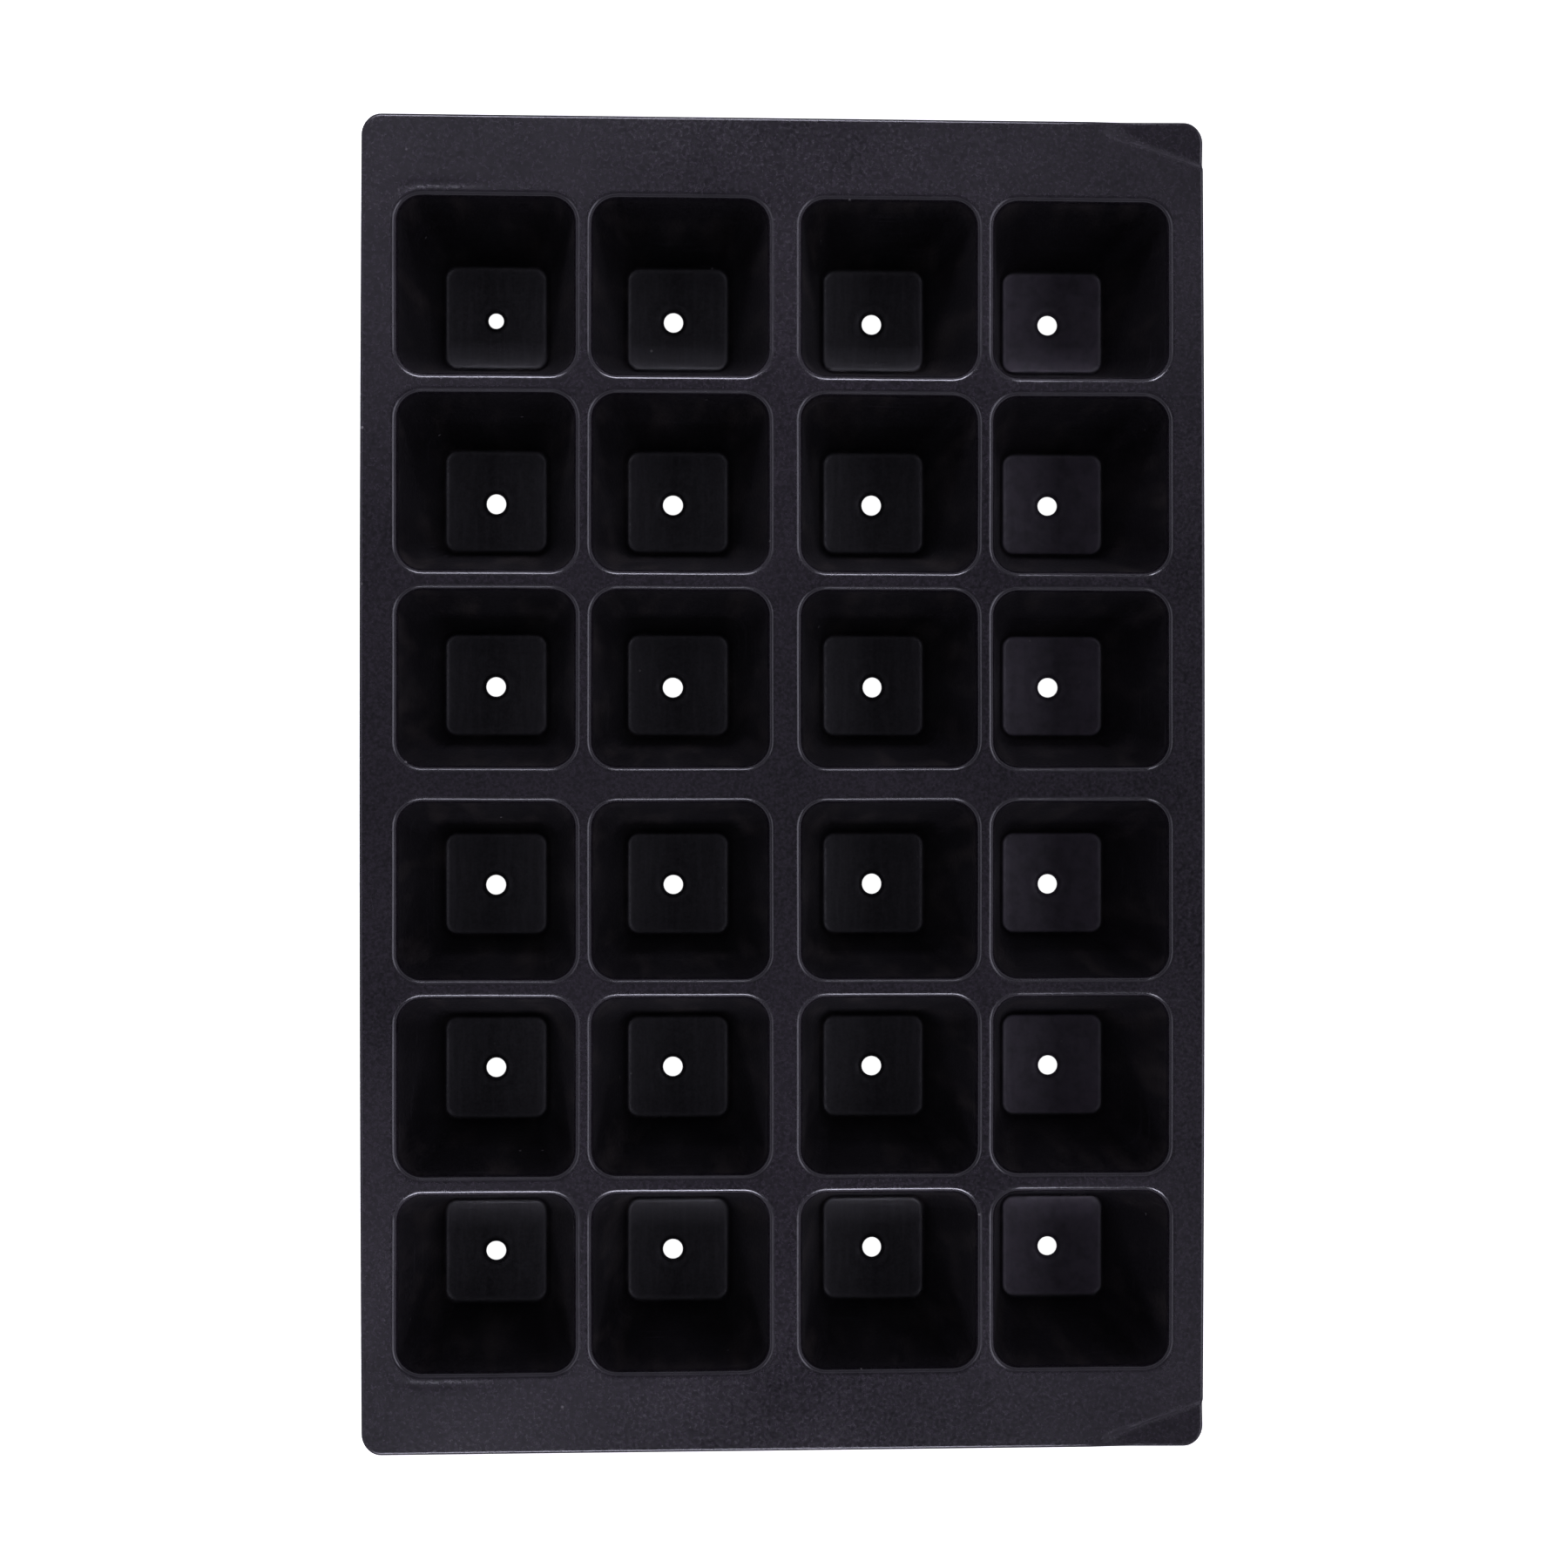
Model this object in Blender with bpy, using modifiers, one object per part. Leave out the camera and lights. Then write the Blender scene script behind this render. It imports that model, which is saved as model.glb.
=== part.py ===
"""Plug tray: twenty-four tapered cells and a flat rim, moulded in one soft rubber sheet.

The real tray is a single moulding. Here it is parted into its own regions along the middle of each
web: one cup-shaped cell for every plant plug, the four sides of the rim, and the wider webs that
cross the middle of the tray. A narrow gap keeps the regions apart.

Frame: origin under the tray's centre at the level that it stands on, X across the four columns,
Y along the six rows, Z up. Row 1 is at +Y and column 1 at -X.
"""

import math

import bmesh
import bpy
from mathutils import Matrix, Vector

# Driving dimensions, in metres.
WIDTH = 0.232
LENGTH = 0.365
HEIGHT = 0.052
SHEET = 0.0016
GAP = 0.0003

COLUMNS = 4
ROWS = 6
COLUMN_PITCH = 0.0530
ROW_PITCH = 0.0536
CENTRE_WEB = 0.0044

# A cell's widths are taken where the planes of its walls meet the deck and the floor.
MOUTH = 0.0488
FLOOR = 0.0314
MOUTH_CORNER = 0.0070
FLOOR_CORNER = 0.0025
LIP_RADIUS = 0.0020
FLOOR_RADIUS = 0.0015
DRAIN_RADIUS = 0.0032

RIM_CORNER = 0.0050
RIM_EDGE = 0.0008

# How finely the round shapes are cut. An odd number of corner points puts one on the diagonal.
CORNER_POINTS = 5
LIP_SEGMENTS = 2
FLOOR_SEGMENTS = 1
RIM_CORNER_SEGMENTS = 5
RIM_EDGE_SEGMENTS = 2

RUBBER_COLOUR = (0.020, 0.018, 0.022, 1.0)
RUBBER_ROUGHNESS = 0.45

# Worked out from the dimensions above.
CELLS_HALF_X = (COLUMNS * COLUMN_PITCH + CENTRE_WEB) / 2
CELLS_HALF_Y = (ROWS * ROW_PITCH + CENTRE_WEB) / 2
FLOOR_TOP = SHEET
WALL_DRAFT = math.atan2((MOUTH - FLOOR) / 2, HEIGHT - FLOOR_TOP)
RING_POINTS = 4 * CORNER_POINTS


def clear_scene():
    for obj in list(bpy.data.objects):
        bpy.data.objects.remove(obj, do_unlink=True)


def new_collection(name):
    collection = bpy.data.collections.new(name)
    bpy.context.scene.collection.children.link(collection)
    return collection


def rubber_material():
    """Black natural rubber with a satin skin."""
    material = bpy.data.materials.new("black_rubber")
    material.use_nodes = True
    shader = material.node_tree.nodes["Principled BSDF"]
    shader.inputs["Base Color"].default_value = RUBBER_COLOUR
    shader.inputs["Roughness"].default_value = RUBBER_ROUGHNESS
    shader.inputs["Metallic"].default_value = 0.0
    return material


def rounded_square(width, corner, z):
    """Ring of a square with rounded corners, anticlockwise from above."""
    reach = width / 2 - corner
    points = []
    for quarter in range(4):
        turn = Matrix.Rotation(quarter * math.pi / 2, 3, "Z")
        for step in range(CORNER_POINTS):
            angle = step / (CORNER_POINTS - 1) * math.pi / 2
            x = reach + corner * math.cos(angle)
            y = reach + corner * math.sin(angle)
            points.append(turn @ Vector((x, y, z)))
    return points


def tile_edge(ring, half_x, half_y):
    """Each point of the ring moved straight out to a rectangle. Diagonal points become its corners."""
    points = []
    for x, y, z in ring:
        diagonal = math.isclose(abs(x), abs(y), rel_tol=1e-6)
        edge_x = math.copysign(half_x, x) if diagonal or abs(x) > abs(y) else x
        edge_y = math.copysign(half_y, y) if diagonal or abs(y) > abs(x) else y
        points.append(Vector((edge_x, edge_y, z)))
    return points


def drain_circle(z):
    """Ring of the round drain hole, with its points halfway between the ring's even steps."""
    points = []
    for index in range(RING_POINTS):
        angle = (index + 0.5) / RING_POINTS * 2 * math.pi
        points.append(Vector((DRAIN_RADIUS * math.cos(angle), DRAIN_RADIUS * math.sin(angle), z)))
    return points


def loft(bm, rings):
    """Quads between each ring and the next one. It returns the vertices of each ring."""
    loops = [[bm.verts.new(point) for point in ring] for ring in rings]
    for outer, inner in zip(loops, loops[1:]):
        for index in range(RING_POINTS):
            after = (index + 1) % RING_POINTS
            bm.faces.new((outer[index], outer[after], inner[after], inner[index]))
    return loops


def round_ring(bm, loop, radius, segments):
    """Rounds the edges along a ring that joins a wall to a level face."""
    edges = [bm.edges.get((loop[index - 1], loop[index])) for index in range(RING_POINTS)]
    tangent_length = radius * math.tan((math.pi / 2 - WALL_DRAFT) / 2)
    bmesh.ops.bevel(
        bm,
        geom=edges,
        offset=tangent_length,
        offset_type="OFFSET",
        segments=segments,
        profile=0.5,
        affect="EDGES",
    )


def cell_mesh():
    """The upper skin of one cell: its share of the deck, the rounded lip, the walls and the floor."""
    mouth = rounded_square(MOUTH, MOUTH_CORNER, HEIGHT)
    floor = rounded_square(FLOOR, FLOOR_CORNER, FLOOR_TOP)
    half_x = (COLUMN_PITCH - GAP) / 2
    half_y = (ROW_PITCH - GAP) / 2
    bm = bmesh.new()
    rings = [tile_edge(mouth, half_x, half_y), mouth, floor, drain_circle(FLOOR_TOP)]
    loops = loft(bm, rings)
    round_ring(bm, loops[1], LIP_RADIUS, LIP_SEGMENTS)
    round_ring(bm, loops[2], FLOOR_RADIUS, FLOOR_SEGMENTS)
    mesh = bpy.data.meshes.new("cell_skin")
    bm.to_mesh(mesh)
    bm.free()
    mesh.shade_smooth()
    mesh.set_sharp_from_angle(angle=math.radians(50))
    return mesh


def deck_mesh():
    """The whole deck as a slab with rounded corners and a rounded upper edge."""
    bm = bmesh.new()
    size = Vector((WIDTH, LENGTH, SHEET))
    centre = Vector((0, 0, HEIGHT - SHEET / 2))
    place = Matrix.Translation(centre) @ Matrix.Diagonal(size).to_4x4()
    bmesh.ops.create_cube(bm, size=1.0, matrix=place)
    upright = [edge for edge in bm.edges if edge.verts[0].co.z != edge.verts[1].co.z]
    bmesh.ops.bevel(
        bm,
        geom=upright,
        offset=RIM_CORNER,
        offset_type="OFFSET",
        segments=RIM_CORNER_SEGMENTS,
        profile=0.5,
        affect="EDGES",
    )
    top_face = max(bm.faces, key=lambda face: face.calc_center_median().z)
    bmesh.ops.bevel(
        bm,
        geom=list(top_face.edges),
        offset=RIM_EDGE,
        offset_type="OFFSET",
        segments=RIM_EDGE_SEGMENTS,
        profile=0.5,
        affect="EDGES",
    )
    mesh = bpy.data.meshes.new("deck_slab")
    bm.to_mesh(mesh)
    bm.free()
    mesh.shade_smooth()
    mesh.set_sharp_from_angle(angle=math.radians(50))
    return mesh


def cutter_box(name, low, high, collection):
    """A box from one corner (x, y) to the other that passes right through the deck."""
    bpy.ops.mesh.primitive_cube_add(size=1.0)
    box = bpy.context.active_object
    box.name = name
    box.location = ((low[0] + high[0]) / 2, (low[1] + high[1]) / 2, HEIGHT)
    box.scale = (high[0] - low[0], high[1] - low[1], HEIGHT)
    box.hide_render = True
    box.display_type = "WIRE"
    for owner in list(box.users_collection):
        owner.objects.unlink(box)
    collection.objects.link(box)
    return box


def new_part(name, mesh, parts, parent):
    part = bpy.data.objects.new(name, mesh)
    parts.objects.link(part)
    part.parent = parent
    return part


def add_cells(mesh, parts, parent):
    """Twenty-four cells, with the wider web left free on both centre lines."""
    for row in range(ROWS):
        y = ((ROWS - 1) / 2 - row) * ROW_PITCH
        y += math.copysign(CENTRE_WEB / 2, y)
        for column in range(COLUMNS):
            x = (column - (COLUMNS - 1) / 2) * COLUMN_PITCH
            x += math.copysign(CENTRE_WEB / 2, x)
            cell = new_part(f"cell_r{row + 1}_c{column + 1}", mesh, parts, parent)
            cell.location = (x, y, 0)
            shell = cell.modifiers.new("sheet", "SOLIDIFY")
            shell.thickness = SHEET
            shell.offset = -1.0
            shell.use_even_offset = True
            shell.use_quality_normals = True


def add_deck_regions(mesh, parts, cutters, parent):
    """The rim and the centre webs, each one the part of the deck that lies inside its own box."""
    inset = GAP / 2
    web = CENTRE_WEB / 2
    beyond_x = WIDTH / 2 + HEIGHT
    beyond_y = LENGTH / 2 + HEIGHT
    side_x = CELLS_HALF_X + inset
    end_y = CELLS_HALF_Y + inset
    inner_x = CELLS_HALF_X - inset
    inner_y = CELLS_HALF_Y - inset
    regions = {
        "rim_back": ((-beyond_x, end_y), (beyond_x, beyond_y)),
        "rim_front": ((-beyond_x, -beyond_y), (beyond_x, -end_y)),
        "rim_left": ((-beyond_x, -inner_y), (-side_x, inner_y)),
        "rim_right": ((side_x, -inner_y), (beyond_x, inner_y)),
        "centre_web_long": ((inset - web, -inner_y), (web - inset, inner_y)),
        "centre_web_cross_left": ((-inner_x, inset - web), (-web - inset, web - inset)),
        "centre_web_cross_right": ((web + inset, inset - web), (inner_x, web - inset)),
    }
    for name, (low, high) in regions.items():
        part = new_part(name, mesh, parts, parent)
        keep = part.modifiers.new("region", "BOOLEAN")
        keep.operation = "INTERSECT"
        keep.solver = "EXACT"
        keep.object = cutter_box(f"{name}_region", low, high, cutters)


def main():
    clear_scene()
    parts = new_collection("plug_tray")
    cutters = new_collection("plug_tray_cutters")
    tray = bpy.data.objects.new("plug_tray_origin", None)
    parts.objects.link(tray)
    rubber = rubber_material()
    cell_skin = cell_mesh()
    deck_slab = deck_mesh()
    for mesh in (cell_skin, deck_slab):
        mesh.materials.append(rubber)
    add_cells(cell_skin, parts, tray)
    add_deck_regions(deck_slab, parts, cutters, tray)


main()
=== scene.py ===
"""Plug tray in black natural rubber: the finished surface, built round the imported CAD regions.

The real tray is one moulding, so the pieces meet edge to edge with matching points, and one shared
function bends them all. Lengths are in metres, in the frame of the CAD.
"""

import math

import bmesh
import bpy
import numpy as np
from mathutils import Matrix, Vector, noise


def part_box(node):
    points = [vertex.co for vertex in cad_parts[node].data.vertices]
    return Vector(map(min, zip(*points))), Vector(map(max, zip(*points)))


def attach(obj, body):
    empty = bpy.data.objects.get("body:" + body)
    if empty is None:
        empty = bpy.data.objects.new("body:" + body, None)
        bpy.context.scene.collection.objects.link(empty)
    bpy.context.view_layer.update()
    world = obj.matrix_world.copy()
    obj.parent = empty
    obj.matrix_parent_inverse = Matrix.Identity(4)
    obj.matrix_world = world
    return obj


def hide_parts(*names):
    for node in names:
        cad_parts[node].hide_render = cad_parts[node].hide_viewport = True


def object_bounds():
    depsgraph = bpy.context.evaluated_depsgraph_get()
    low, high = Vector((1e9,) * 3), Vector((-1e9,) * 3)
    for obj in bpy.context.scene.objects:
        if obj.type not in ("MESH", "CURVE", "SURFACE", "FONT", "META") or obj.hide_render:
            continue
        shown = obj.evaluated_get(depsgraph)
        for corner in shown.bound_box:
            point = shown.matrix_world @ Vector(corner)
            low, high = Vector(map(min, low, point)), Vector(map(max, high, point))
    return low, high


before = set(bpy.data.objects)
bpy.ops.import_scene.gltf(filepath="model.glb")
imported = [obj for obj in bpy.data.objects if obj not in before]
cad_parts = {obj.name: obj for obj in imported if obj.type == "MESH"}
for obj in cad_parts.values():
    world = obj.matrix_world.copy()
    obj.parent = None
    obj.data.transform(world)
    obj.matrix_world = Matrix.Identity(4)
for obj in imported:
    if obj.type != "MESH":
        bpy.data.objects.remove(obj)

CAD_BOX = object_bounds()
LOW, HIGH = CAD_BOX
MM = 0.001
SAME_PLACE = 1e-7

# The sheet.
DECK_TOP = HIGH.z
RIM_LOW, RIM_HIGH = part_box("rim_left")
SHEET = RIM_HIGH.z - RIM_LOW.z
ROWS = 6
COLUMNS = 4

# One cell. Its widths are taken where the planes of its walls meet the deck and the floor.
MOUTH = 48.6 * MM
FLOOR = 30.6 * MM
MOUTH_CORNER = 7.0 * MM
FLOOR_CORNER = 4.0 * MM
LIP_RADIUS = 1.8 * MM
FLOOR_RADIUS = 2.2 * MM
DRAFT = math.atan2((MOUTH - FLOOR) / 2, DECK_TOP - SHEET)

# The drain: a hole with a dished edge inside a low collar. The holes sit a little off the floors' middles, by
# an amount of each column's own along X, the same amount along Y, and a scatter in both.
DRAIN_RADIUS = 2.85 * MM
DRAIN_DISH = 1.6 * MM
DRAIN_COLLAR = 1.3 * MM
COLLAR_HEIGHT = 0.10 * MM
DRAIN_LIP = 0.2 * MM
DRAIN_DRIFT = (-0.2 * MM, -1.3 * MM, -0.1 * MM, -1.0 * MM)
DRAIN_SETBACK = -0.4 * MM
DRAIN_SCATTER = (0.3 * MM, 0.4 * MM)
DRAIN_SIZE_SCATTER = 0.06
DRAIN_SQUASH = 0.05
SMALL_DRAIN_CELL = (0, 0)
SMALL_DRAIN = 0.78

# The rim's outline.
RIM_CORNER = 5.8 * MM

# How the sheet lies: wandering mouths, bowed long sides and a deck that isn't quite flat.
WANDER = 0.12 * MM
SIDE_BOW = 0.6 * MM
UNEVENNESS = 0.10 * MM

# The crease across each right-hand corner: a point on it, its slope, and the dent that begins along it.
CREASE_X = 92 * MM
CREASE_Y = 178.9 * MM
CREASE_SLOPE = 0.33
CREASE_DEPTH = 1.1 * MM
CREASE_STEEP = (-1.6 * MM, 0.2 * MM)
CREASE_REACH = 9 * MM
CREASE_FADE = (83 * MM, 97 * MM)

# The soft roll outside the left-hand end cells, as a trough that leaves it standing.
TROUGH_OUT = 3.0 * MM
TROUGH_WIDTH = 1.2 * MM
TROUGH_DEPTH = 0.16 * MM
TROUGH_FADE_X = (-12 * MM, 8 * MM)
TROUGH_FADE_Y = (-14 * MM, 10 * MM)

# How worn the roundings are, from 0 to 1.
FILLET_WEAR = 0.8
COLLAR_WEAR = 0.2
DISH_WEAR = 0.3

# How finely the pieces are cut. ARC_STEPS is even, so that one point lies on each diagonal.
ARC_STEPS = 10
SIDE_STEPS = 8
LIP_STEPS = 7
WALL_STEPS = 9
FLOOR_FILLET_STEPS = 5
DISH_STEPS = 6
EDGE_STEPS = 5
UNDER_LIP_STEPS = 3
UNDER_WALL_STEPS = 5
DECK_RINGS = (0.0, 0.3, 0.6, 0.8)
FLOOR_RINGS = (0.25, 0.5, 0.75, 1.0)
CORNER_LINES = (1.0, 0.86, 0.72, 0.58, 0.45, 0.32, 0.2)
WEB_LINES = 5
END_RIM_LINES = 31
CREASE_LINES = (84 * MM, 109 * MM, 31)

# Colours of the rubber, linear: the bare sheet, then what lies or rubs on it, and the painted shade and
# painted light inside the cells.
DEEP_BLACK = (0.0030, 0.0026, 0.0034, 1)
SOFT_BLACK = (0.0070, 0.0058, 0.0074, 1)
FLECK = (0.0300, 0.0245, 0.0330, 1)
# Painted shade for the cell walls.
PAINTED_WALL_SHADE = (0.0018, 0.0012, 0.0018, 1)
SMEAR = (0.0280, 0.0230, 0.0210, 1)
# Painted shade for the cell floors.
PAINTED_FLOOR_SHADE = (0.0030, 0.0022, 0.0035, 1)
BRUSHED = (0.0240, 0.0190, 0.0280, 1)
# Painted light for the floors of the right-hand column.
RIGHT_FLOOR_LIGHT = (0.082, 0.067, 0.090, 1)
SCUFFED = (0.050, 0.046, 0.052, 1)
WORN = (0.060, 0.056, 0.062, 1)
SPECK = (0.30, 0.29, 0.28, 1)

# The room: (degrees from straight up, radiance), in order from below. It is palest at the horizon.
ROOM = (
    (110, 0.10), (94, 0.30), (90, 1.0), (82, 0.80), (73, 0.35), (55, 0.20),
    (48, 0.60), (38, 0.60), (31, 0.12), (10, 0.12), (6, 0.21), (2, 0.26),
)
ROOM_TINT = (1.0, 0.96, 1.19)
LAMP_TINT = (1.0, 0.98, 1.18)
SIDE_LAMP_DISTANCE = 2.5
FLOOR_HALF = 20.0
FLOOR_GAP = 0.2 * MM

# The camera: where it is, how wide a strip of the deck it takes in, and what its middle looks at.
EYE = (-39.2 * MM, 0.1 * MM, DECK_TOP + 670 * MM)
FRAME_WIDTH = 428.4 * MM
SHIFT = 0.022
AIM_X = -0.4 * MM
SENSOR_WIDTH = 36.0


# ---------------------------------------------------------------- where the regions meet


def seams(names, axis):
    """Positions midway between the boxes of neighbouring CAD nodes along one axis, in order."""
    boxes = sorted((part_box(name) for name in names), key=lambda box: box[0][axis])
    return [(before[1][axis] + after[0][axis]) / 2 for before, after in zip(boxes, boxes[1:])]


COLUMN_SEAMS = seams(
    ["rim_left", "cell_r1_c1", "cell_r1_c2", "centre_web_long", "cell_r1_c3", "cell_r1_c4", "rim_right"], 0
)
ROW_SEAMS = seams(
    ["rim_front", "cell_r6_c1", "cell_r5_c1", "cell_r4_c1", "centre_web_cross_left"]
    + ["cell_r3_c1", "cell_r2_c1", "cell_r1_c1", "rim_back"],
    1,
)
COLUMN_SPANS = list(zip(COLUMN_SEAMS, COLUMN_SEAMS[1:]))
ROW_SPANS = list(zip(ROW_SEAMS, ROW_SEAMS[1:]))
WEB_X = COLUMN_SPANS.pop(COLUMNS // 2)
WEB_Y = ROW_SPANS.pop(ROWS // 2)


def edge_steps(span):
    """Points along one side of a tile, from seam to seam, just as the rings of a cell place them."""
    low, high = span
    centre = (low + high) / 2
    reach = MOUTH / 2 - MOUTH_CORNER
    arc = [reach + MOUTH_CORNER * math.sin(k / ARC_STEPS * math.pi / 2) for k in range(1, ARC_STEPS // 2)]
    straight = list(np.linspace(-reach, reach, SIDE_STEPS + 1))
    offsets = [-offset for offset in reversed(arc)] + straight + arc
    return [low] + [centre + offset for offset in offsets] + [high]


def joined(*lists):
    """Sorted values of the lists, with those that coincide kept once."""
    values = sorted(value for part in lists for value in part)
    kept = values[:1]
    for value in values[1:]:
        if value - kept[-1] > SAME_PLACE:
            kept.append(value)
    return kept


ALONG_X = joined(*[edge_steps(span) for span in COLUMN_SPANS])
ALONG_Y = joined(*[edge_steps(span) for span in ROW_SPANS])


# ---------------------------------------------------------------- the shared bend of the sheet


def smooth(low, high, value):
    """0 below low, 1 above high, and a smooth rise between them."""
    t = np.clip((value - low) / (high - low), 0.0, 1.0)
    return t * t * (3 - 2 * t)


def ripple(x, y, size, seed):
    """A smooth wandering value between about -1 and 1 for each point of the deck."""
    return np.array([noise.noise(Vector((a / size, b / size, seed))) for a, b in zip(x, y)])


def settle(points):
    """The sheet as it lies: sides a little bowed, lips not quite straight, right-hand corners creased."""
    x, y, z = points.T.copy()
    up = smooth(SHEET, DECK_TOP - LIP_RADIUS, z)
    half_x, half_y = HIGH.x, HIGH.y

    # The mouths wander by a fraction of a millimetre, and the floors not at all.
    wander = WANDER * up
    x_shift = wander * ripple(x, y, 31 * MM, 3.1)
    y_shift = wander * ripple(x, y, 27 * MM, 8.7)

    # The long sides are fullest halfway along.
    outer = smooth(COLUMN_SEAMS[-1], half_x, np.abs(x))
    x_shift = x_shift * (1 - outer) - np.sign(x) * outer * SIDE_BOW * (y / half_y) ** 2
    y_shift = y_shift * (1 - smooth(ROW_SEAMS[-1], half_y, np.abs(y)))

    # Shallow unevenness of the deck.
    drop = UNEVENNESS * up * (1 + ripple(x, y, 38 * MM, 1.3)) / 2

    # A crease crosses each right-hand corner, steep before it and rising gently beyond it.
    along = np.abs(y)
    beyond = (x - CREASE_X) * CREASE_SLOPE + (along - CREASE_Y)
    dent = smooth(*CREASE_STEEP, beyond) * np.clip(1 - beyond / CREASE_REACH, 0, 1)
    drop = drop + CREASE_DEPTH * dent * smooth(*CREASE_FADE, x)

    # A soft roll lies round the outside of the end cells on the left.
    cell_x = (COLUMN_SPANS[0][0] + COLUMN_SPANS[0][1]) / 2
    cell_y = (ROW_SPANS[-1][0] + ROW_SPANS[-1][1]) / 2
    reach = MOUTH / 2 - MOUTH_CORNER
    away = np.hypot(np.maximum(cell_x - x - reach, 0), np.maximum(along - cell_y - reach, 0)) - MOUTH_CORNER
    fade = 1 - smooth(*TROUGH_FADE_X, x - cell_x)
    fade = fade * smooth(*TROUGH_FADE_Y, along - cell_y)
    trough = np.exp(-(((away - TROUGH_OUT) / TROUGH_WIDTH) ** 2))
    drop = drop + TROUGH_DEPTH * trough * fade * up

    # The cells' lower walls and floors stay where they are.
    return np.column_stack((x + x_shift, y + y_shift, z - drop * smooth(0.3, 1.0, up)))


# ---------------------------------------------------------------- rings and lofts


def square_ring(width, corner, z):
    """Square with rounded corners, anticlockwise from above, starting where the first corner starts."""
    reach = width / 2 - corner
    points = []
    for quarter in range(4):
        cos, sin = [(1, 0), (0, 1), (-1, 0), (0, -1)][quarter]
        local = []
        for step in range(ARC_STEPS + 1):
            angle = step / ARC_STEPS * math.pi / 2
            local.append((reach + corner * math.cos(angle), reach + corner * math.sin(angle)))
        for step in range(1, SIDE_STEPS):
            local.append((reach - 2 * reach * step / SIDE_STEPS, width / 2))
        points += [(cos * a - sin * b, sin * a + cos * b, z) for a, b in local]
    return np.array(points)


def tile_ring(span_x, span_y, centre, z):
    """The tile's rectangular edge, with a point straight out from each point of the mouth."""
    ring = square_ring(MOUTH, MOUTH_CORNER, z)
    x, y = ring[:, 0], ring[:, 1]
    to_side = np.abs(x) > np.abs(y) - 1e-6
    to_end = np.abs(y) > np.abs(x) - 1e-6
    edge_x = np.where(x > 0, span_x[1], span_x[0]) - centre[0]
    edge_y = np.where(y > 0, span_y[1], span_y[0]) - centre[1]
    ring[:, 0] = np.where(to_side, edge_x, x)
    ring[:, 1] = np.where(to_end, edge_y, y)
    return ring


def circle_ring(radius, z, centre, squash):
    """A circle or slight oval with as many points as a square ring, matched to it corner by corner."""
    per_quarter = ARC_STEPS + SIDE_STEPS
    start = math.pi / 4 * SIDE_STEPS / per_quarter
    angles = start + np.arange(4 * per_quarter) / (4 * per_quarter) * 2 * math.pi
    return np.column_stack(
        (
            centre[0] + radius * (1 + squash) * np.cos(angles),
            centre[1] + radius * (1 - squash) * np.sin(angles),
            np.full(len(angles), z),
        )
    )


def piece_from(name, points, faces, wear):
    """A mesh object from its points and faces, bent with the whole sheet."""
    mesh = bpy.data.meshes.new(name)
    mesh.from_pydata(settle(points).tolist(), [], faces)
    mesh.attributes.new("wear", "FLOAT", "POINT").data.foreach_set("value", np.asarray(wear, np.float32))
    mesh.shade_smooth()
    mesh.set_sharp_from_angle(angle=math.radians(60))
    mesh.materials.append(RUBBER)
    piece = bpy.data.objects.new(name, mesh)
    bpy.context.scene.collection.objects.link(piece)
    return piece


def cell_profile():
    """Rings of the sheet's upper side from the lip to the floor: (width, corner radius, height, wear)."""
    lip_run = LIP_RADIUS * math.tan((math.pi / 2 - DRAFT) / 2)
    fillet_run = FLOOR_RADIUS * math.tan((math.pi / 2 - DRAFT) / 2)
    turn = math.pi / 2 - DRAFT
    flat = MOUTH + 2 * lip_run
    rings = []
    for step in range(LIP_STEPS + 1):
        angle = turn * step / LIP_STEPS
        inward = LIP_RADIUS * math.sin(angle)
        height = DECK_TOP - LIP_RADIUS * (1 - math.cos(angle))
        worn = math.sin(angle * math.pi / turn)
        rings.append((flat - 2 * inward, MOUTH_CORNER + lip_run - inward, height, worn))
    fillet = []
    for step in range(FLOOR_FILLET_STEPS + 1):
        angle = turn * (1 - step / FLOOR_FILLET_STEPS)
        outward = FLOOR_RADIUS * math.sin(angle)
        height = SHEET + FLOOR_RADIUS * (1 - math.cos(angle))
        width = FLOOR - 2 * fillet_run + 2 * outward
        worn = FILLET_WEAR * math.sin(angle * math.pi / turn)
        fillet.append((width, FLOOR_CORNER - fillet_run + outward, height, worn))
    top, bottom = rings[-1], fillet[0]
    for step in range(1, WALL_STEPS):
        t = step / WALL_STEPS
        rings.append(tuple(a + (b - a) * t for a, b in zip(top, bottom)))
    return rings + fillet


def cell_underside():
    """Rings of the underside from the floor up to the deck: (width, corner radius, height)."""
    turn = math.pi / 2 - DRAFT
    fillet_run = FLOOR_RADIUS * math.tan(turn / 2)
    lip_run = LIP_RADIUS * math.tan(turn / 2)
    radius = FLOOR_RADIUS + SHEET
    flat = FLOOR - 2 * fillet_run
    rings = []
    for step in range(FLOOR_FILLET_STEPS + 1):
        angle = turn * step / FLOOR_FILLET_STEPS
        outward = radius * math.sin(angle)
        height = radius * (1 - math.cos(angle))
        rings.append((flat + 2 * outward, FLOOR_CORNER - fillet_run + outward, height))
    inner = LIP_RADIUS - SHEET
    upper = []
    for step in range(UNDER_LIP_STEPS + 1):
        angle = turn * (1 - step / UNDER_LIP_STEPS)
        inward = inner * math.sin(angle)
        height = DECK_TOP - SHEET - inner * (1 - math.cos(angle))
        upper.append((MOUTH + 2 * lip_run - 2 * inward, MOUTH_CORNER + lip_run - inward, height))
    below, above = rings[-1], upper[0]
    for step in range(1, UNDER_WALL_STEPS):
        t = step / UNDER_WALL_STEPS
        rings.append(tuple(a + (b - a) * t for a, b in zip(below, above)))
    return rings + upper


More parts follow.
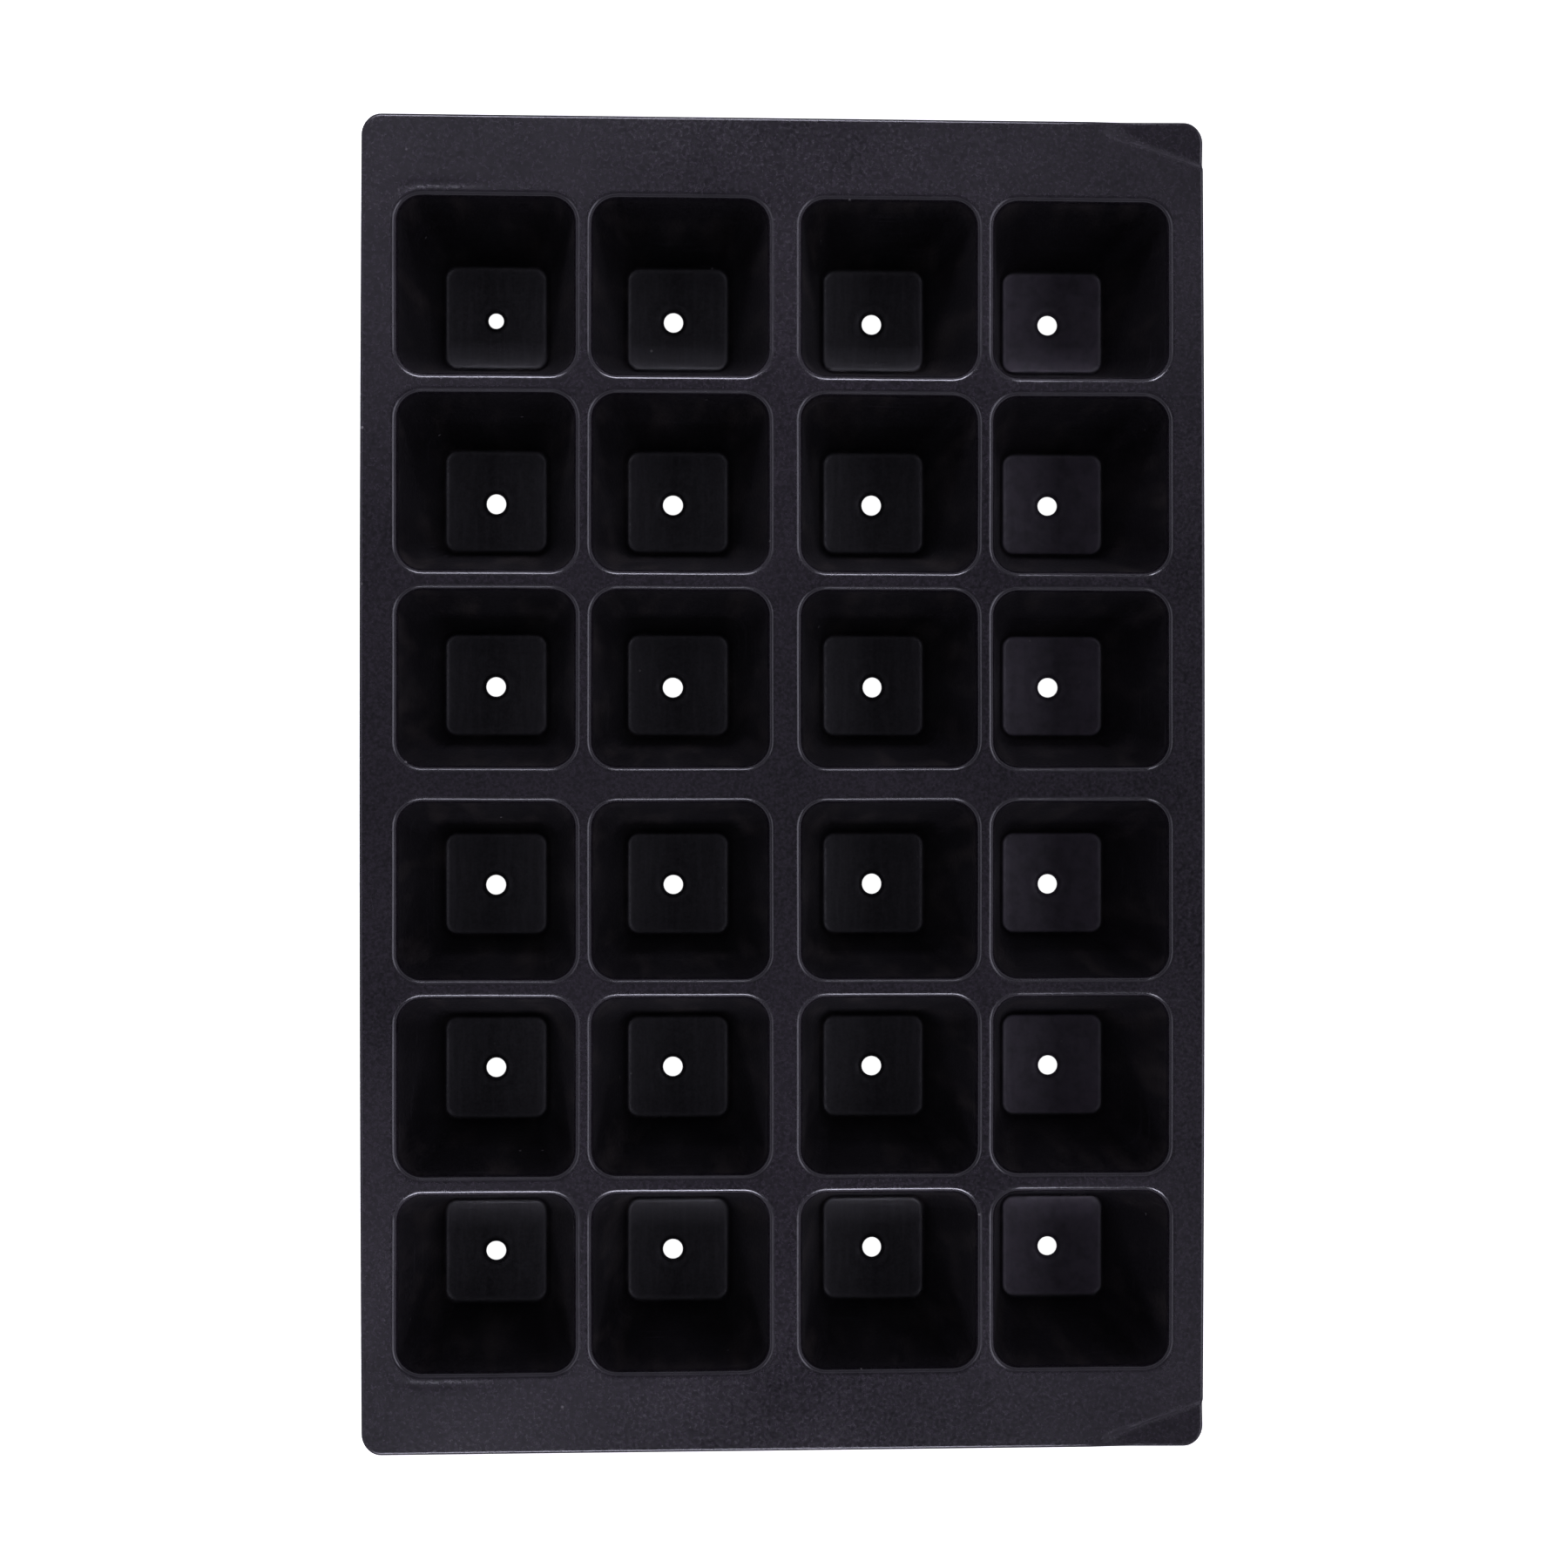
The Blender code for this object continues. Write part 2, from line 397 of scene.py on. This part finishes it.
def make_cell(row, column):
    """One cell as a closed sheet: deck, lip, walls and floor, the drain, and the underside back up."""
    span_x = COLUMN_SPANS[column]
    span_y = ROW_SPANS[ROWS - 1 - row]
    centre = ((span_x[0] + span_x[1]) / 2, (span_y[0] + span_y[1]) / 2)
    key = Vector((row * 1.7, column * 2.3, 5.0))
    drain = (
        DRAIN_DRIFT[column] + DRAIN_SCATTER[0] * noise.noise(key),
        DRAIN_SETBACK + DRAIN_SCATTER[1] * noise.noise(key + Vector((9, 0, 0))),
    )
    radius = DRAIN_RADIUS * (1 + DRAIN_SIZE_SCATTER * noise.noise(key + Vector((0, 9, 0))))
    if (row, column) == SMALL_DRAIN_CELL:
        radius *= SMALL_DRAIN
    squash = DRAIN_SQUASH * noise.noise(key + Vector((0, 0, 9)))

    seam = tile_ring(span_x, span_y, centre, DECK_TOP)
    lip = square_ring(*cell_profile()[0][:3])
    rings = [seam + (lip - seam) * t for t in DECK_RINGS]
    wear = [0.0] * len(rings)
    for width, corner, height, worn in cell_profile():
        rings.append(square_ring(width, corner, height))
        wear.append(worn)
    floor_edge = rings[-1]
    dish = radius + DRAIN_DISH
    collar = circle_ring(dish + DRAIN_COLLAR, SHEET, drain, squash)
    for t in FLOOR_RINGS:
        rings.append(floor_edge + (collar - floor_edge) * t)
        wear.append(0.0)
    rings.append(circle_ring(dish + DRAIN_COLLAR / 2, SHEET + COLLAR_HEIGHT, drain, squash))
    wear.append(COLLAR_WEAR)
    for step in range(DISH_STEPS + 1):
        angle = math.pi / 2 * step / DISH_STEPS
        out = DRAIN_DISH * (1 - math.sin(angle))
        height = DRAIN_LIP + (SHEET - DRAIN_LIP) * math.cos(angle)
        rings.append(circle_ring(radius + out, height, drain, squash))
        wear.append(DISH_WEAR)
    rings.append(circle_ring(radius + DRAIN_LIP, 0.0, drain, squash))
    wear.append(0.0)
    underside = [square_ring(*ring) for ring in cell_underside()]
    rings.append((rings[-1] + underside[0]) / 2)
    rings += underside
    rings.append(tile_ring(span_x, span_y, centre, DECK_TOP - SHEET))
    wear += [0.0] * (len(underside) + 2)

    size = len(rings[0])
    count = len(rings)
    points = np.vstack(rings) + np.array((centre[0], centre[1], 0.0))
    faces = []
    for ring in range(count):
        below = (ring + 1) % count
        for index in range(size):
            after = (index + 1) % size
            upper = (ring * size + index, ring * size + after)
            lower = (below * size + after, below * size + index)
            faces.append(upper + lower)
    name = f"cell_r{row + 1}_c{column + 1}"
    hand_over(piece_from(name + "_skin", points, faces, np.repeat(wear, size)), name)


def hand_over(piece, node):
    """Hides the CAD node that the piece stands in for, and attaches the piece to the root body."""
    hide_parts(node)
    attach(piece, "root")


# ---------------------------------------------------------------- flat regions


def rounded_outline(x, y):
    """Rounds the outline's corners, and gives each point's distance from the outside as well.

    The points of the rectangle's corner squares move onto circles. Distances stop at the corners' radius.
    """
    half_x, half_y = HIGH.x, HIGH.y
    a = np.maximum(np.abs(x) - (half_x - RIM_CORNER), 0)
    b = np.maximum(np.abs(y) - (half_y - RIM_CORNER), 0)
    inside = np.maximum(a, b) / np.maximum(np.hypot(a, b), 1e-12)
    inside = np.where((a > 0) & (b > 0), inside, 1.0)
    new_x = np.where(a > 0, np.sign(x) * (half_x - RIM_CORNER + a * inside), x)
    new_y = np.where(b > 0, np.sign(y) * (half_y - RIM_CORNER + b * inside), y)
    depth = np.maximum(a, b)
    return new_x, new_y, RIM_CORNER - depth


def edge_lines(limit):
    """Positions close to an outside edge, spaced for its rounding, and a few across the rim's corner."""
    radius = SHEET / 2
    rounding = [limit - radius * (1 - math.sin(k / EDGE_STEPS * math.pi / 2)) for k in range(EDGE_STEPS + 1)]
    across_corner = [limit - RIM_CORNER * part for part in CORNER_LINES]
    return across_corner + rounding


def make_strip(name, xs, ys):
    """A flat region of the deck on a grid of lines, with a rounded edge wherever it meets the outside."""
    grid_x, grid_y = np.meshgrid(np.array(xs), np.array(ys), indexing="ij")
    x, y, inward = rounded_outline(grid_x.ravel(), grid_y.ravel())
    radius = SHEET / 2
    sink = np.clip(radius - inward, 0, radius)
    fall = radius - np.sqrt(np.maximum(radius**2 - sink**2, 0))
    top = np.column_stack((x, y, DECK_TOP - fall))
    bottom = np.column_stack((x, y, DECK_TOP - SHEET + fall))
    rows, columns = grid_x.shape
    count = rows * columns
    faces = []
    for i in range(rows - 1):
        for j in range(columns - 1):
            a, b = i * columns + j, (i + 1) * columns + j
            c, d = b + 1, a + 1
            faces.append((a, b, c, d))
            faces.append((count + d, count + c, count + b, count + a))
    border = [(i, 0) for i in range(rows)] + [(rows - 1, j) for j in range(1, columns)]
    border += [(i, columns - 1) for i in range(rows - 2, -1, -1)]
    border += [(0, j) for j in range(columns - 2, 0, -1)]
    loop = [i * columns + j for i, j in border]
    for here, after in zip(loop, loop[1:] + loop[:1]):
        faces.append((after, here, count + here, count + after))
    worn = np.tile(smooth(0, radius, sink), 2)
    piece = piece_from(name + "_skin", np.vstack((top, bottom)), faces, worn)
    weld(piece)
    hand_over(piece, name)


def weld(piece):
    """Joins the upper and lower sheet where their roundings meet, and drops the faces left without area."""
    bm = bmesh.new()
    bm.from_mesh(piece.data)
    bmesh.ops.remove_doubles(bm, verts=bm.verts, dist=SAME_PLACE)
    bmesh.ops.dissolve_degenerate(bm, edges=bm.edges, dist=1e-8)
    bm.to_mesh(piece.data)
    bm.free()


def make_flat_regions():
    """The rim's four sides and the three webs on the centre lines, on lines that match the cells' edges."""
    side_lines = edge_lines(HIGH.x)
    end_lines = edge_lines(HIGH.y)
    left_lines = [-value for value in reversed(side_lines)]
    front_lines = [-value for value in reversed(end_lines)]
    web_x = list(np.linspace(*WEB_X, WEB_LINES))
    web_y = list(np.linspace(*WEB_Y, WEB_LINES))
    along_x = joined(ALONG_X, web_x)
    along_y = joined(ALONG_Y, web_y)
    inner_x = [value for value in along_x if COLUMN_SEAMS[0] - SAME_PLACE < value < WEB_X[0] + SAME_PLACE]
    outer_x = [value for value in along_x if WEB_X[1] - SAME_PLACE < value < COLUMN_SEAMS[-1] + SAME_PLACE]
    crease_x = list(np.linspace(*CREASE_LINES))
    rim_x = joined(left_lines, along_x, crease_x, side_lines)
    across = list(np.linspace(ROW_SEAMS[-1], HIGH.y - RIM_CORNER, END_RIM_LINES))
    make_strip("rim_back", rim_x, joined(across, end_lines))
    make_strip("rim_front", rim_x, joined(front_lines, [-value for value in across]))
    make_strip("rim_right", joined([COLUMN_SEAMS[-1]], side_lines), along_y)
    make_strip("rim_left", joined(left_lines, [COLUMN_SEAMS[0]]), along_y)
    make_strip("centre_web_long", web_x, along_y)
    make_strip("centre_web_cross_left", inner_x, web_y)
    make_strip("centre_web_cross_right", outer_x, web_y)


# ---------------------------------------------------------------- materials


class Shading:
    """Short names for the nodes of one material."""

    def __init__(self, material):
        material.use_nodes = True
        self.nodes = material.node_tree.nodes
        self.links = material.node_tree.links
        self.shader = self.nodes["Principled BSDF"]
        self.place = self.nodes.new("ShaderNodeTexCoord").outputs["Object"]

    def feed(self, socket, value):
        if isinstance(value, (int, float, tuple)):
            socket.default_value = value
        else:
            self.links.new(value, socket)

    def stretched(self, scale):
        """The object's coordinates, with a scale of its own on each axis."""
        node = self.nodes.new("ShaderNodeMapping")
        node.inputs["Scale"].default_value = scale
        self.links.new(self.place, node.inputs["Vector"])
        return node.outputs[0]

    def noise(self, scale, detail=3.0, vector=None):
        node = self.nodes.new("ShaderNodeTexNoise")
        node.inputs["Scale"].default_value = scale
        node.inputs["Detail"].default_value = detail
        self.links.new(vector or self.place, node.inputs["Vector"])
        return node.outputs["Fac"]

    def cells(self, scale):
        """Distance from the nearest of many scattered points, and a random value for that point."""
        node = self.nodes.new("ShaderNodeTexVoronoi")
        node.inputs["Scale"].default_value = scale
        self.links.new(self.place, node.inputs["Vector"])
        return node.outputs["Distance"], node.outputs["Color"]

    def attribute(self, name):
        node = self.nodes.new("ShaderNodeAttribute")
        node.attribute_name = name
        return node.outputs["Fac"]

    def span(self, value, low, high, out_low=0.0, out_high=1.0):
        node = self.nodes.new("ShaderNodeMapRange")
        self.feed(node.inputs["Value"], value)
        for name, number in zip(("From Min", "From Max", "To Min", "To Max"), (low, high, out_low, out_high)):
            node.inputs[name].default_value = number
        return node.outputs["Result"]

    def math(self, operation, a, b):
        node = self.nodes.new("ShaderNodeMath")
        node.operation = operation
        self.feed(node.inputs[0], a)
        self.feed(node.inputs[1], b)
        return node.outputs[0]

    def blend(self, factor, a, b):
        """Colour a where factor is 0 and colour b where it is 1."""
        node = self.nodes.new("ShaderNodeMix")
        node.data_type = "RGBA"
        self.feed(node.inputs[0], factor)
        self.feed(node.inputs[6], a)
        self.feed(node.inputs[7], b)
        return node.outputs[2]


def rubber_material():
    """Black natural rubber: satin, faintly grained, scuffed and specked, paler where its lips rub, with
    painted shade on the cells' walls and floors and painted light on the floors of the right-hand column.
    """
    material = bpy.data.materials.new("black_rubber")
    rubber = Shading(material)
    broad = rubber.noise(26.0, 4.0)
    grain = rubber.noise(1000.0, 4.0)
    worn = rubber.attribute("wear")

    place = rubber.nodes.new("ShaderNodeSeparateXYZ")
    rubber.links.new(rubber.place, place.inputs[0])
    x, z = place.outputs["X"], place.outputs["Z"]
    on_floor = rubber.span(z, SHEET + 0.4 * MM, SHEET + 0.1 * MM)
    on_wall = rubber.math("SUBTRACT", 1.0, rubber.span(z, DECK_TOP - 3 * MM, DECK_TOP - 1 * MM))
    on_wall = rubber.math("MULTIPLY", on_wall, rubber.math("SUBTRACT", 1.0, on_floor))

    # Marks left by the mould: short strokes along the walls, and fine brushing on the floors.
    strokes = rubber.span(rubber.noise(1.0, 4.0, rubber.stretched((55.0, 55.0, 520.0))), 0.58, 0.74)
    patches = rubber.span(rubber.noise(45.0, 2.0), 0.48, 0.62)
    strokes = rubber.math("MULTIPLY", strokes, rubber.math("MULTIPLY", on_wall, patches))
    brushing = rubber.span(rubber.noise(1.0, 3.0, rubber.stretched((620.0, 70.0, 60.0))), 0.45, 0.75)
    brushing = rubber.math("MULTIPLY", brushing, on_floor)
    scuffs = rubber.math("ADD", strokes, rubber.math("MULTIPLY", brushing, 0.6))

    # Colour: the grain's pale flecks, smears on the walls, painted shade on the walls and floors, and painted
    # light on the floors of the right-hand column.
    fleck = rubber.span(rubber.noise(1300.0, 2.0), 0.35, 0.65)
    fleck = rubber.math("MULTIPLY", fleck, rubber.span(worn, 0.0, 0.6, 0.46, 0.15))
    smears = rubber.span(rubber.noise(1.0, 3.0, rubber.stretched((120.0, 120.0, 26.0))), 0.50, 0.75)
    smears = rubber.math("MULTIPLY", smears, on_wall)
    # Painted light on the floors of the right-hand column, patchy with noise.
    right_floor_light = rubber.math("MULTIPLY", on_floor, rubber.span(x, 40 * MM, 66 * MM))
    right_floor_light = rubber.math("MULTIPLY", right_floor_light, rubber.span(rubber.noise(260.0, 3.0), 0.3, 0.6, 0.5, 0.9))
    rubbed = rubber.math("MULTIPLY", worn, rubber.span(rubber.noise(160.0, 3.0), 0.30, 0.80))

    # Specks: only a few of the scattered points hold one.
    near, chance = rubber.cells(330.0)
    speck = rubber.math("MULTIPLY", rubber.span(near, 0.16, 0.08), rubber.span(chance, 0.90, 0.93))

    colour = rubber.blend(rubber.span(broad, 0.35, 0.65), DEEP_BLACK, SOFT_BLACK)
    colour = rubber.blend(fleck, colour, FLECK)
    # Painted shade: the cell walls are blended towards a darker black.
    colour = rubber.blend(rubber.math("MULTIPLY", on_wall, 0.8), colour, PAINTED_WALL_SHADE)
    colour = rubber.blend(rubber.math("MULTIPLY", smears, 0.6), colour, SMEAR)
    # Painted shade: the cell floors are blended halfway towards a darker black.
    colour = rubber.blend(rubber.math("MULTIPLY", on_floor, 0.5), colour, PAINTED_FLOOR_SHADE)
    colour = rubber.blend(rubber.math("MULTIPLY", brushing, 0.14), colour, BRUSHED)
    # Painted light: the floors of the right-hand column are made paler where light would fall on them.
    colour = rubber.blend(right_floor_light, colour, RIGHT_FLOOR_LIGHT)
    colour = rubber.blend(rubber.math("MULTIPLY", scuffs, 0.25), colour, SCUFFED)
    colour = rubber.blend(rubber.math("MULTIPLY", rubbed, 0.18), colour, WORN)
    colour = rubber.blend(rubber.math("MULTIPLY", speck, 0.5), colour, SPECK)
    rubber.links.new(colour, rubber.shader.inputs["Base Color"])

    # The walls and floors are duller than the deck, but for the roundings between them.
    rough = rubber.span(broad, 0.3, 0.7, 0.18, 0.235)
    rough = rubber.math("ADD", rough, rubber.span(grain, 0.35, 0.65, -0.055, 0.065))
    rough = rubber.math("ADD", rough, rubber.math("MULTIPLY", on_wall, 0.30))
    rough = rubber.math("ADD", rough, rubber.math("MULTIPLY", on_floor, 0.28))
    rough = rubber.math("SUBTRACT", rough, rubber.math("MULTIPLY", scuffs, 0.08))
    roundings = rubber.math("MULTIPLY", worn, on_wall)
    rough = rubber.math("SUBTRACT", rough, rubber.math("MULTIPLY", roundings, 0.22))
    rubber.links.new(rough, rubber.shader.inputs["Roughness"])

    # Fine relief: grain and pebbles, smoother where worn, and the scuffs.
    pebble, _ = rubber.cells(600.0)
    relief = rubber.math("ADD", rubber.math("MULTIPLY", grain, 0.8), rubber.math("MULTIPLY", pebble, 0.15))
    unworn = rubber.math("SUBTRACT", 1.0, rubber.math("MULTIPLY", worn, 0.8))
    relief = rubber.math("MULTIPLY", relief, unworn)
    relief = rubber.math("ADD", relief, rubber.math("MULTIPLY", scuffs, 0.5))
    bump = rubber.nodes.new("ShaderNodeBump")
    bump.inputs["Strength"].default_value = 0.28
    bump.inputs["Distance"].default_value = 0.10 * MM
    rubber.links.new(relief, bump.inputs["Height"])
    rubber.links.new(bump.outputs["Normal"], rubber.shader.inputs["Normal"])
    return material


def pale_floor():
    """A plain white light-table top that the tray stands on."""
    half = FLOOR_HALF
    mesh = bpy.data.meshes.new("floor")
    corners = [(-half, -half, 0), (half, -half, 0), (half, half, 0), (-half, half, 0)]
    mesh.from_pydata(corners, [], [(0, 1, 2, 3)])
    floor = bpy.data.objects.new("floor", mesh)
    floor.location.z = LOW.z - FLOOR_GAP
    bpy.context.scene.collection.objects.link(floor)
    material = bpy.data.materials.new("light_table")
    material.use_nodes = True
    shader = material.node_tree.nodes["Principled BSDF"]
    shader.inputs["Base Color"].default_value = (0.8, 0.8, 0.8, 1)
    shader.inputs["Roughness"].default_value = 0.9
    shader.inputs["Emission Color"].default_value = (1, 1, 1, 1)
    shader.inputs["Emission Strength"].default_value = 1.0
    mesh.materials.append(material)
    floor.visible_glossy = False
    floor.visible_diffuse = False


# ---------------------------------------------------------------- light and camera


def room():
    """A dim room, as bright as ROOM says by the angle from straight up."""
    world = bpy.data.worlds.new("studio")
    bpy.context.scene.world = world
    world.use_nodes = True
    nodes = world.node_tree.nodes
    links = world.node_tree.links
    direction = nodes.new("ShaderNodeTexCoord")
    upward = nodes.new("ShaderNodeSeparateXYZ")
    height = nodes.new("ShaderNodeMapRange")
    height.inputs["From Min"].default_value = -1.0
    shade = nodes.new("ShaderNodeValToRGB")
    links.new(direction.outputs["Generated"], upward.inputs[0])
    links.new(upward.outputs["Z"], height.inputs["Value"])
    links.new(height.outputs["Result"], shade.inputs["Fac"])
    links.new(shade.outputs["Color"], nodes["Background"].inputs["Color"])
    stops = shade.color_ramp.elements
    for _ in range(len(ROOM) - 2):
        stops.new(0.5)
    for stop, (angle, level) in zip(stops, ROOM):
        stop.position = (1 + math.cos(math.radians(angle))) / 2
        stop.color = [level * tint for tint in ROOM_TINT] + [1.0]


def studio_lamps():
    """Broad soft lamps at both sides, and at each end a low strip that lights the lips and two high lamps."""
    lamp("right_lamp", side_place(39, 0), (0, 0), size=(1.6, 1.1), radiance=2.35)
    lamp("left_lamp", side_place(35, 180), (0, 0), size=(1.6, 0.8), radiance=1.05)
    for end in (-1, 1):
        strip = (-125 * MM, end * 320 * MM, DECK_TOP + 200 * MM)
        high_left = (-190 * MM, end * 350 * MM, DECK_TOP + 750 * MM)
        high_right = (250 * MM, end * 350 * MM, DECK_TOP + 750 * MM)
        lamp("near_strip", strip, (-125 * MM, end * 125 * MM), size=(0.48, 0.06), radiance=31.0, spread=42)
        lamp("high_left", high_left, (-90 * MM, end * 160 * MM), size=(0.28, 0.28), radiance=0.34, spread=60)
        lamp("high_right", high_right, (90 * MM, end * 160 * MM), size=(0.24, 0.24), radiance=0.20, spread=60)


def side_place(angle, turn):
    """A place at so many degrees from straight up, seen from the tray, and turned from +X towards +Y."""
    tilt, turn = math.radians(angle), math.radians(turn)
    out = SIDE_LAMP_DISTANCE * math.sin(tilt)
    return (out * math.cos(turn), out * math.sin(turn), DECK_TOP + SIDE_LAMP_DISTANCE * math.cos(tilt))


def lamp(name, place, aim, size, radiance, spread=180):
    """A soft rectangular lamp turned to the deck at aim.

    Along its axis it is as bright as radiance, and its beam is spread degrees wide.
    """
    light = bpy.data.lights.new(name, "AREA")
    light.shape = "RECTANGLE"
    light.size, light.size_y = size
    light.spread = math.radians(spread)
    light.color = LAMP_TINT
    half = math.radians(spread) / 2
    light.energy = radiance * math.pi * size[0] * size[1] * (1 - half / math.tan(half))
    holder = bpy.data.objects.new(name, light)
    holder.location = place
    holder.rotation_euler = (Vector((*aim, DECK_TOP)) - Vector(place)).to_track_quat("-Z", "Y").to_euler()
    holder.visible_camera = False
    bpy.context.scene.collection.objects.link(holder)


def overhead_camera():
    """Looks down from above the left of the middle, nearly square on, with part of the lean as lens shift."""
    distance = EYE[2] - DECK_TOP
    camera = bpy.data.cameras.new("camera")
    camera.sensor_width = SENSOR_WIDTH
    camera.lens = SENSOR_WIDTH * distance / FRAME_WIDTH
    camera.shift_x = SHIFT
    lean_to_aim = math.atan2(AIM_X - EYE[0], distance)
    lean = lean_to_aim - math.atan(SHIFT * SENSOR_WIDTH / camera.lens)
    looker = bpy.data.objects.new("camera", camera)
    looker.location = EYE
    looker.rotation_euler = (0, -lean, 0)
    bpy.context.scene.collection.objects.link(looker)
    bpy.context.scene.camera = looker


RUBBER = rubber_material()
for row in range(ROWS):
    for column in range(COLUMNS):
        make_cell(row, column)
make_flat_regions()
pale_floor()
room()
studio_lamps()
overhead_camera()
bpy.context.scene.view_settings.view_transform = "Standard"
